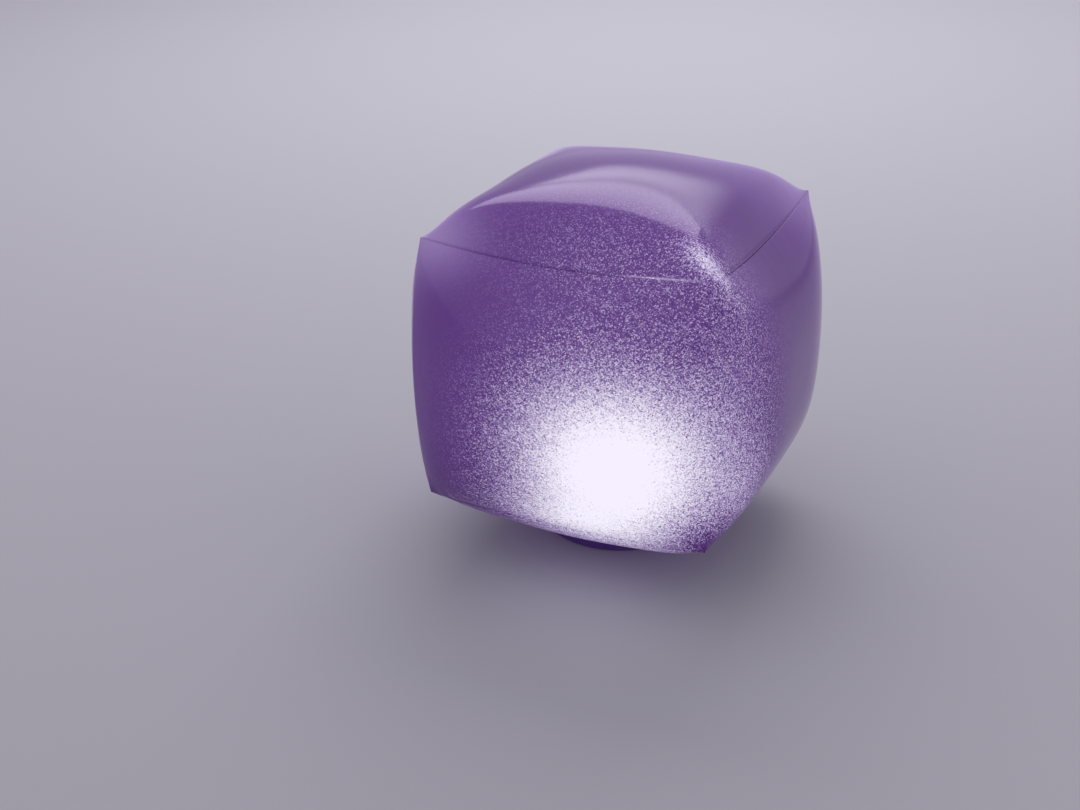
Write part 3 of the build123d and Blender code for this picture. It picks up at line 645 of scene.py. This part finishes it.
# Spark erosion leaves pits of about 0.1 mm: drawn 0.5 mm wide, as coarse as they
# need to show. The lowest edge is paler: a painted highlight along the bottom rim.
place = add(tree, "TexCoord").outputs["Object"]
pits = add(tree, "TexNoise", {"Vector": place, "Scale": 2000.0, "Detail": 2.0}).outputs[0]
cloud = add(tree, "TexNoise", {"Vector": place, "Scale": 70.0, "Detail": 3.0}).outputs[0]
height = add(tree, "SeparateXYZ", {0: place}).outputs[2]
# Painted highlight along the lowest 2.4 mm, mottled by the clouds.
painted_rim_highlight = add(tree, "MapRange", {0: height, 1: 0.0, 2: 2.4 * MM, 3: 0.75, 4: 0.0}).outputs[0]
tone = add(tree, "Mix", {0: cloud, 6: linear("#4A2478"), 7: linear("#5B3290")},
           data_type="RGBA").outputs[2]
painted_rim_highlight = add(tree, "Math", [painted_rim_highlight, cloud], operation="MULTIPLY").outputs[0]
tone = add(tree, "Mix", {0: painted_rim_highlight, 6: tone, 7: linear("#8A6DAE")}, data_type="RGBA").outputs[2]
tree.links.new(tone, shader.inputs["Base Color"])
tree.links.new(add(tree, "MapRange", {0: cloud, 3: 0.42, 4: 0.6}).outputs[0],
               shader.inputs["Roughness"])
bump = add(tree, "Bump", {"Height": pits, "Strength": 0.6, "Distance": 0.05 * MM})
tree.links.new(bump.outputs[0], shader.inputs["Normal"])
dress("base_housing", shell)
dress("battery_cover", shell)

lens, tree, shader = new_material("frosted_polycarbonate", "#E9E2F2", 0.55)
# Polycarbonate frosted inside: the four emitters melt into one pool of light,
# brightest over them and dying out towards the rim. The frosting's grains of about
# 0.1 mm are drawn 0.7 mm wide.
place = add(tree, "TexCoord").outputs["Object"]
pool = bells(tree, place, [((0, 0, 32), (0, 0, 0), (24, 24, 40), 1.0),
                           ((0, 0, 20), (0, 0, 0), (60, 60, 40), 0.25)])
lit = add(tree, "VectorMath", {0: linear("#E6DAFA")[:3], "Scale": pool},
          operation="SCALE").outputs[0]
tree.links.new(lit, shader.inputs["Emission Color"])
shader.inputs["Emission Strength"].default_value = 1
frost = add(tree, "TexNoise", {"Vector": place, "Scale": 1400.0, "Detail": 2.0}).outputs[0]
tree.links.new(add(tree, "MapRange", {0: frost, 3: 0.45, 4: 0.65}).outputs[0],
               shader.inputs["Roughness"])
bump = add(tree, "Bump", {"Height": frost, "Strength": 0.5, "Distance": 0.04 * MM})
tree.links.new(bump.outputs[0], shader.inputs["Normal"])
dress("lens_dome", lens)

silicone, tree, shader = new_material("moulded_silicone", "#BDB8C6", 0.4)
# Silicone rubber: milky, satin, and it holds a little dust.
place = add(tree, "TexCoord").outputs["Object"]
dust = add(tree, "TexNoise", {"Vector": place, "Scale": 500.0, "Detail": 4.0}).outputs[0]
tone = add(tree, "Mix", {0: dust, 6: linear("#B0AABA"), 7: linear("#CAC5D2")},
           data_type="RGBA").outputs[2]
tree.links.new(tone, shader.inputs["Base Color"])
tree.links.new(add(tree, "MapRange", {0: dust, 3: 0.32, 4: 0.52}).outputs[0],
               shader.inputs["Roughness"])
for node in ("lens_gasket", "cover_gasket", "button_seal"):
    dress(node, silicone)


# ---- Lamp board --------------------------------------------------------------------
# A glass-fibre board under white solder mask on three posts, with four white light
# emitters, their driver chip and capacitor, and the push switch underneath.

board, tree, shader = new_material("white_solder_mask", "#ECEBE4", 0.38)
# The mask is glossy white; copper tracks under it show as faint raised lines, and
# the board's cut edge is bare glass fibre.
place = add(tree, "TexCoord").outputs["Object"]
track = add(tree, "TexWave", {"Vector": place, "Scale": 52.0, "Distortion": 3.0, "Detail": 0.0,
                              "Detail Scale": 0.4}, bands_direction="DIAGONAL").outputs["Fac"]
track = add(tree, "MapRange", {0: track, 1: 0.78, 2: 0.86}).outputs[0]
faded = add(tree, "Math", [track, 0.5], operation="MULTIPLY").outputs[0]
tone = add(tree, "Mix", {0: faded, 6: linear("#ECEBE4"), 7: linear("#D3D8C6")},
           data_type="RGBA").outputs[2]
flat = add(tree, "VectorMath", {0: place, 1: (1, 1, 0)}, operation="MULTIPLY").outputs[0]
reach = add(tree, "VectorMath", {0: flat}, operation="LENGTH").outputs["Value"]
cut = add(tree, "MapRange", {0: reach, 1: 40.4 * MM, 2: 40.55 * MM}).outputs[0]
tone = add(tree, "Mix", {0: cut, 6: tone, 7: linear("#BDB48A")}, data_type="RGBA").outputs[2]
tree.links.new(tone, shader.inputs["Base Color"])
bump = add(tree, "Bump", {"Height": track, "Strength": 0.4, "Distance": 0.04 * MM})
tree.links.new(bump.outputs[0], shader.inputs["Normal"])
dress("lamp_board", board)

emitter, tree, shader = new_material("phosphor_and_white_package", "#F1EEE6", 0.45)
# Each emitter is a white package with a bead of yellow phosphor in clear resin.
EMITTER_PITCH = 6.5                  # mm from the middle to an emitter, both ways
place = add(tree, "TexCoord").outputs["Object"]
corner = add(tree, "VectorMath", {0: place}, operation="ABSOLUTE").outputs[0]
arm = add(tree, "VectorMath", {0: corner, 1: (EMITTER_PITCH * MM, EMITTER_PITCH * MM, 0)},
          operation="SUBTRACT").outputs[0]
arm = add(tree, "VectorMath", {0: arm, 1: (1, 1, 0)}, operation="MULTIPLY").outputs[0]
reach = add(tree, "VectorMath", {0: arm}, operation="LENGTH").outputs["Value"]
bead = add(tree, "MapRange", {0: reach, 1: 1.7 * MM, 2: 2.0 * MM, 3: 1.0, 4: 0.0}).outputs[0]
tone = add(tree, "Mix", {0: bead, 6: linear("#F1EEE6"), 7: linear("#F6D65A")},
           data_type="RGBA").outputs[2]
tree.links.new(tone, shader.inputs["Base Color"])
tree.links.new(add(tree, "MapRange", {0: bead, 3: 0.45, 4: 0.12}).outputs[0],
               shader.inputs["Roughness"])
lit = add(tree, "VectorMath", {0: linear("#FFF3C8")[:3], "Scale": bead},
          operation="SCALE").outputs[0]
tree.links.new(lit, shader.inputs["Emission Color"])
shader.inputs["Emission Strength"].default_value = 3
dress("led_emitters", emitter)

epoxy, tree, shader = new_material("black_moulding_epoxy", "#17171A", 0.4)
# Transfer-moulded epoxy: black and fine-grained, its grains drawn 0.6 mm wide to
# show, and the capacitor's top is bare aluminium over its dark sleeve.
CAN_SIDE, CAN_TOP = -12, 24.02       # mm: the can is left of one, its lid above the other
place = add(tree, "TexCoord").outputs["Object"]
grit = add(tree, "TexNoise", {"Vector": place, "Scale": 1600.0, "Detail": 2.0}).outputs[0]
x, _, z = add(tree, "SeparateXYZ", {0: place}).outputs
by_can = add(tree, "Math", [x, CAN_SIDE * MM], operation="LESS_THAN").outputs[0]
on_top = add(tree, "Math", [z, CAN_TOP * MM], operation="GREATER_THAN").outputs[0]
can_top = add(tree, "Math", [by_can, on_top], operation="MULTIPLY").outputs[0]
tone = add(tree, "Mix", {0: grit, 6: linear("#121214"), 7: linear("#202024")},
           data_type="RGBA").outputs[2]
tone = add(tree, "Mix", {0: can_top, 6: tone, 7: linear("#C4C5C9")}, data_type="RGBA").outputs[2]
tree.links.new(tone, shader.inputs["Base Color"])
tree.links.new(can_top, shader.inputs["Metallic"])
tree.links.new(add(tree, "MapRange", {0: grit, 3: 0.34, 4: 0.5}).outputs[0],
               shader.inputs["Roughness"])
bump = add(tree, "Bump", {"Height": grit, "Strength": 0.4, "Distance": 0.02 * MM})
tree.links.new(bump.outputs[0], shader.inputs["Normal"])
dress("board_components", epoxy)
dress("tact_switch", epoxy)

steel, tree, shader = new_material("nickel_plated_steel", "#C6C3BC", 0.3, Metallic=1.0)
# Stamped or turned steel, nickel plated: bright, with fine handling scratches
# about 1 mm long and 0.1 mm wide.
place = add(tree, "TexCoord").outputs["Object"]
drawn = add(tree, "Mapping", {"Vector": place, "Scale": (900, 9000, 9000)}).outputs[0]
scratch = add(tree, "TexNoise", {"Vector": drawn, "Scale": 1.0, "Detail": 3.0}).outputs[0]
tone = add(tree, "Mix", {0: scratch, 6: linear("#B8B4AC"), 7: linear("#D4D2CC")},
           data_type="RGBA").outputs[2]
tree.links.new(tone, shader.inputs["Base Color"])
tree.links.new(add(tree, "MapRange", {0: scratch, 3: 0.22, 4: 0.42}).outputs[0],
               shader.inputs["Roughness"])
for node in ("board_screws", "cover_screws", "link_contacts", "end_contacts"):
    dress(node, steel)


# ---- Battery bay ---------------------------------------------------------------------
# A tray moulded in black ABS holds three AAA cells head to tail, joined by stamped
# contacts at its ends.

tray, tree, shader = new_material("moulded_black_abs", "#1F1F22", 0.55)
# Plain mould finish: dark grey-black, lightly matt, with faint flow clouds.
place = add(tree, "TexCoord").outputs["Object"]
flow = add(tree, "TexNoise", {"Vector": place, "Scale": 240.0, "Detail": 3.0}).outputs[0]
tone = add(tree, "Mix", {0: flow, 6: linear("#19191C"), 7: linear("#28282C")},
           data_type="RGBA").outputs[2]
tree.links.new(tone, shader.inputs["Base Color"])
tree.links.new(add(tree, "MapRange", {0: flow, 3: 0.46, 4: 0.64}).outputs[0],
               shader.inputs["Roughness"])
dress("battery_tray", tray)

cells, tree, shader = new_material("cell_sleeve_and_steel", "#2A2933", 0.3)
# A printed shrink sleeve in two plain colours, bare steel at both rims and on the
# nub. Neighbours point opposite ways, so the band changes ends from cell to cell.
CELL_PITCH, BAY_MIDDLE = 11.1, 6.0   # mm
BAND_START, NUB_END, FLAT_END = 12.5, 24.3, -18.5        # mm along a cell
place = add(tree, "TexCoord").outputs["Object"]
x, y, _ = add(tree, "SeparateXYZ", {0: place}).outputs
phase = add(tree, "Math", [y, math.pi / CELL_PITCH / MM, -BAY_MIDDLE * math.pi / CELL_PITCH],
            operation="MULTIPLY_ADD").outputs[0]
wave = add(tree, "Math", [phase], operation="COSINE").outputs[0]
way = add(tree, "Math", [wave], operation="SIGN").outputs[0]
along = add(tree, "Math", [x, way], operation="MULTIPLY").outputs[0]
along = add(tree, "Math", [along, -1.0], operation="MULTIPLY").outputs[0]
band = add(tree, "Math", [along, BAND_START * MM], operation="GREATER_THAN").outputs[0]
nub_end = add(tree, "Math", [along, NUB_END * MM], operation="GREATER_THAN").outputs[0]
flat_end = add(tree, "Math", [along, FLAT_END * MM], operation="LESS_THAN").outputs[0]
bare = add(tree, "Math", [nub_end, flat_end], operation="MAXIMUM").outputs[0]
tone = add(tree, "Mix", {0: band, 6: linear("#2A2933"), 7: linear("#B88A4A")},
           data_type="RGBA").outputs[2]
tone = add(tree, "Mix", {0: bare, 6: tone, 7: linear("#C9C7C3")}, data_type="RGBA").outputs[2]
tree.links.new(tone, shader.inputs["Base Color"])
foil = add(tree, "Math", [band, 0.6], operation="MULTIPLY").outputs[0]
metal = add(tree, "Math", [bare, foil], operation="MAXIMUM").outputs[0]
tree.links.new(metal, shader.inputs["Metallic"])
sheen = add(tree, "TexNoise", {"Vector": place, "Scale": 300.0, "Detail": 2.0}).outputs[0]
tree.links.new(add(tree, "MapRange", {0: sheen, 3: 0.22, 4: 0.38}).outputs[0],
               shader.inputs["Roughness"])
dress("battery_cells", cells)


# ---- Power button ----------------------------------------------------------------------
# A button in soft-touch violet rubber over a hard core, set in from the housing's
# underside, with a moulded dish for the fingertip.

rubber, tree, shader = new_material("soft_touch_rubber", "#8E72B3", 0.6)
# Soft-touch rubber: matt, paler than the housing, finely stippled so that it grips;
# its 0.3 mm stipple is drawn 0.6 mm wide.
place = add(tree, "TexCoord").outputs["Object"]
stipple = add(tree, "TexVoronoi", {"Vector": place, "Scale": 1600.0}).outputs["Distance"]
cloud = add(tree, "TexNoise", {"Vector": place, "Scale": 220.0, "Detail": 3.0}).outputs[0]
tone = add(tree, "Mix", {0: cloud, 6: linear("#8569AB"), 7: linear("#987DBC")},
           data_type="RGBA").outputs[2]
tree.links.new(tone, shader.inputs["Base Color"])
bump = add(tree, "Bump", {"Height": stipple, "Strength": 0.6, "Distance": 0.08 * MM})
tree.links.new(bump.outputs[0], shader.inputs["Normal"])
dress("power_button", rubber)


# ---- Floor and light -------------------------------------------------------
# A pale paper floor, two softboxes facing down from overhead, and an even pale
# surround. The boxes' edges make the curved bands on the top panel.

FLOOR_HALF = 30                      # metres
floor_mesh = bpy.data.meshes.new("floor")
floor_mesh.from_pydata([(-FLOOR_HALF, -FLOOR_HALF, 0), (FLOOR_HALF, -FLOOR_HALF, 0),
                        (FLOOR_HALF, FLOOR_HALF, 0), (-FLOOR_HALF, FLOOR_HALF, 0)], [],
                       [(0, 1, 2, 3)])
floor = bpy.data.objects.new("floor", floor_mesh)
bpy.context.scene.collection.objects.link(floor)
paper, _, _ = new_material("pale_paper_floor", "#B2AFBC", 0.8, Specular_IOR_Level=0.2)
floor.data.materials.append(paper)

BOX_HEIGHT = 1.3                     # metres above the cube's centre


def softbox(name, x, y, width, depth, radiance):
    """An area lamp facing straight down, its place and size as shares of its height
    above the cube's centre, and its light given as radiance."""
    lamp = bpy.data.objects.new(name, bpy.data.lights.new(name, "AREA"))
    lamp.data.shape = "RECTANGLE"
    lamp.data.size, lamp.data.size_y = width * BOX_HEIGHT, depth * BOX_HEIGHT
    lamp.data.energy = radiance * math.pi * width * depth * BOX_HEIGHT ** 2
    lamp.location = (x * BOX_HEIGHT, y * BOX_HEIGHT, CUBE_CENTRE + BOX_HEIGHT)
    lamp.visible_camera = False
    bpy.context.scene.collection.objects.link(lamp)
    return lamp


softbox("ceiling_box", -0.36, 0.87, 1.06, 0.9, 2.65)
far_box = softbox("feathered_box", 0, 2.0, 2.0, 1.2, 2.3)
# Its cloth is feathered: the light dies out smoothly to the right and to the back.
far_box.data.use_nodes = True
tree = far_box.data.node_tree
cloth = add(tree, "NewGeometry").outputs["Position"]
x, y, _ = add(tree, "SeparateXYZ", [cloth]).outputs
fades = [add(tree, "MapRange", {0: along, 1: start * BOX_HEIGHT, 2: end * BOX_HEIGHT,
                                3: 1.0, 4: 0.0}, interpolation_type="SMOOTHSTEP").outputs[0]
         for along, start, end in ((x, -0.7, 0.9), (y, 1.5, 2.55))]
emission = next(node for node in tree.nodes if node.type == "EMISSION")
left_over = add(tree, "Math", fades, operation="MULTIPLY").outputs[0]
tree.links.new(left_over, emission.inputs["Strength"])

# The surround lights the object evenly, and is seen, mirrored or looked through as
# pale paper.
SURROUND = 0.6                       # share of white
world = bpy.data.worlds.new("surround")
bpy.context.scene.world = world
world.use_nodes = True
tree = world.node_tree
tree.nodes.clear()
path = add(tree, "LightPath").outputs
seen = add(tree, "Math", [path["Is Camera Ray"], path["Is Glossy Ray"]],
           operation="MAXIMUM").outputs[0]
seen = add(tree, "Math", [seen, path["Is Transmission Ray"]], operation="MAXIMUM").outputs[0]
colour = add(tree, "Mix", {0: seen, 6: [SURROUND] * 3 + [1], 7: linear("#BEBBC7")},
             data_type="RGBA").outputs[2]
shade = add(tree, "Background", {"Color": colour, "Strength": 1.0})
add(tree, "OutputWorld", {"Surface": shade.outputs[0]})
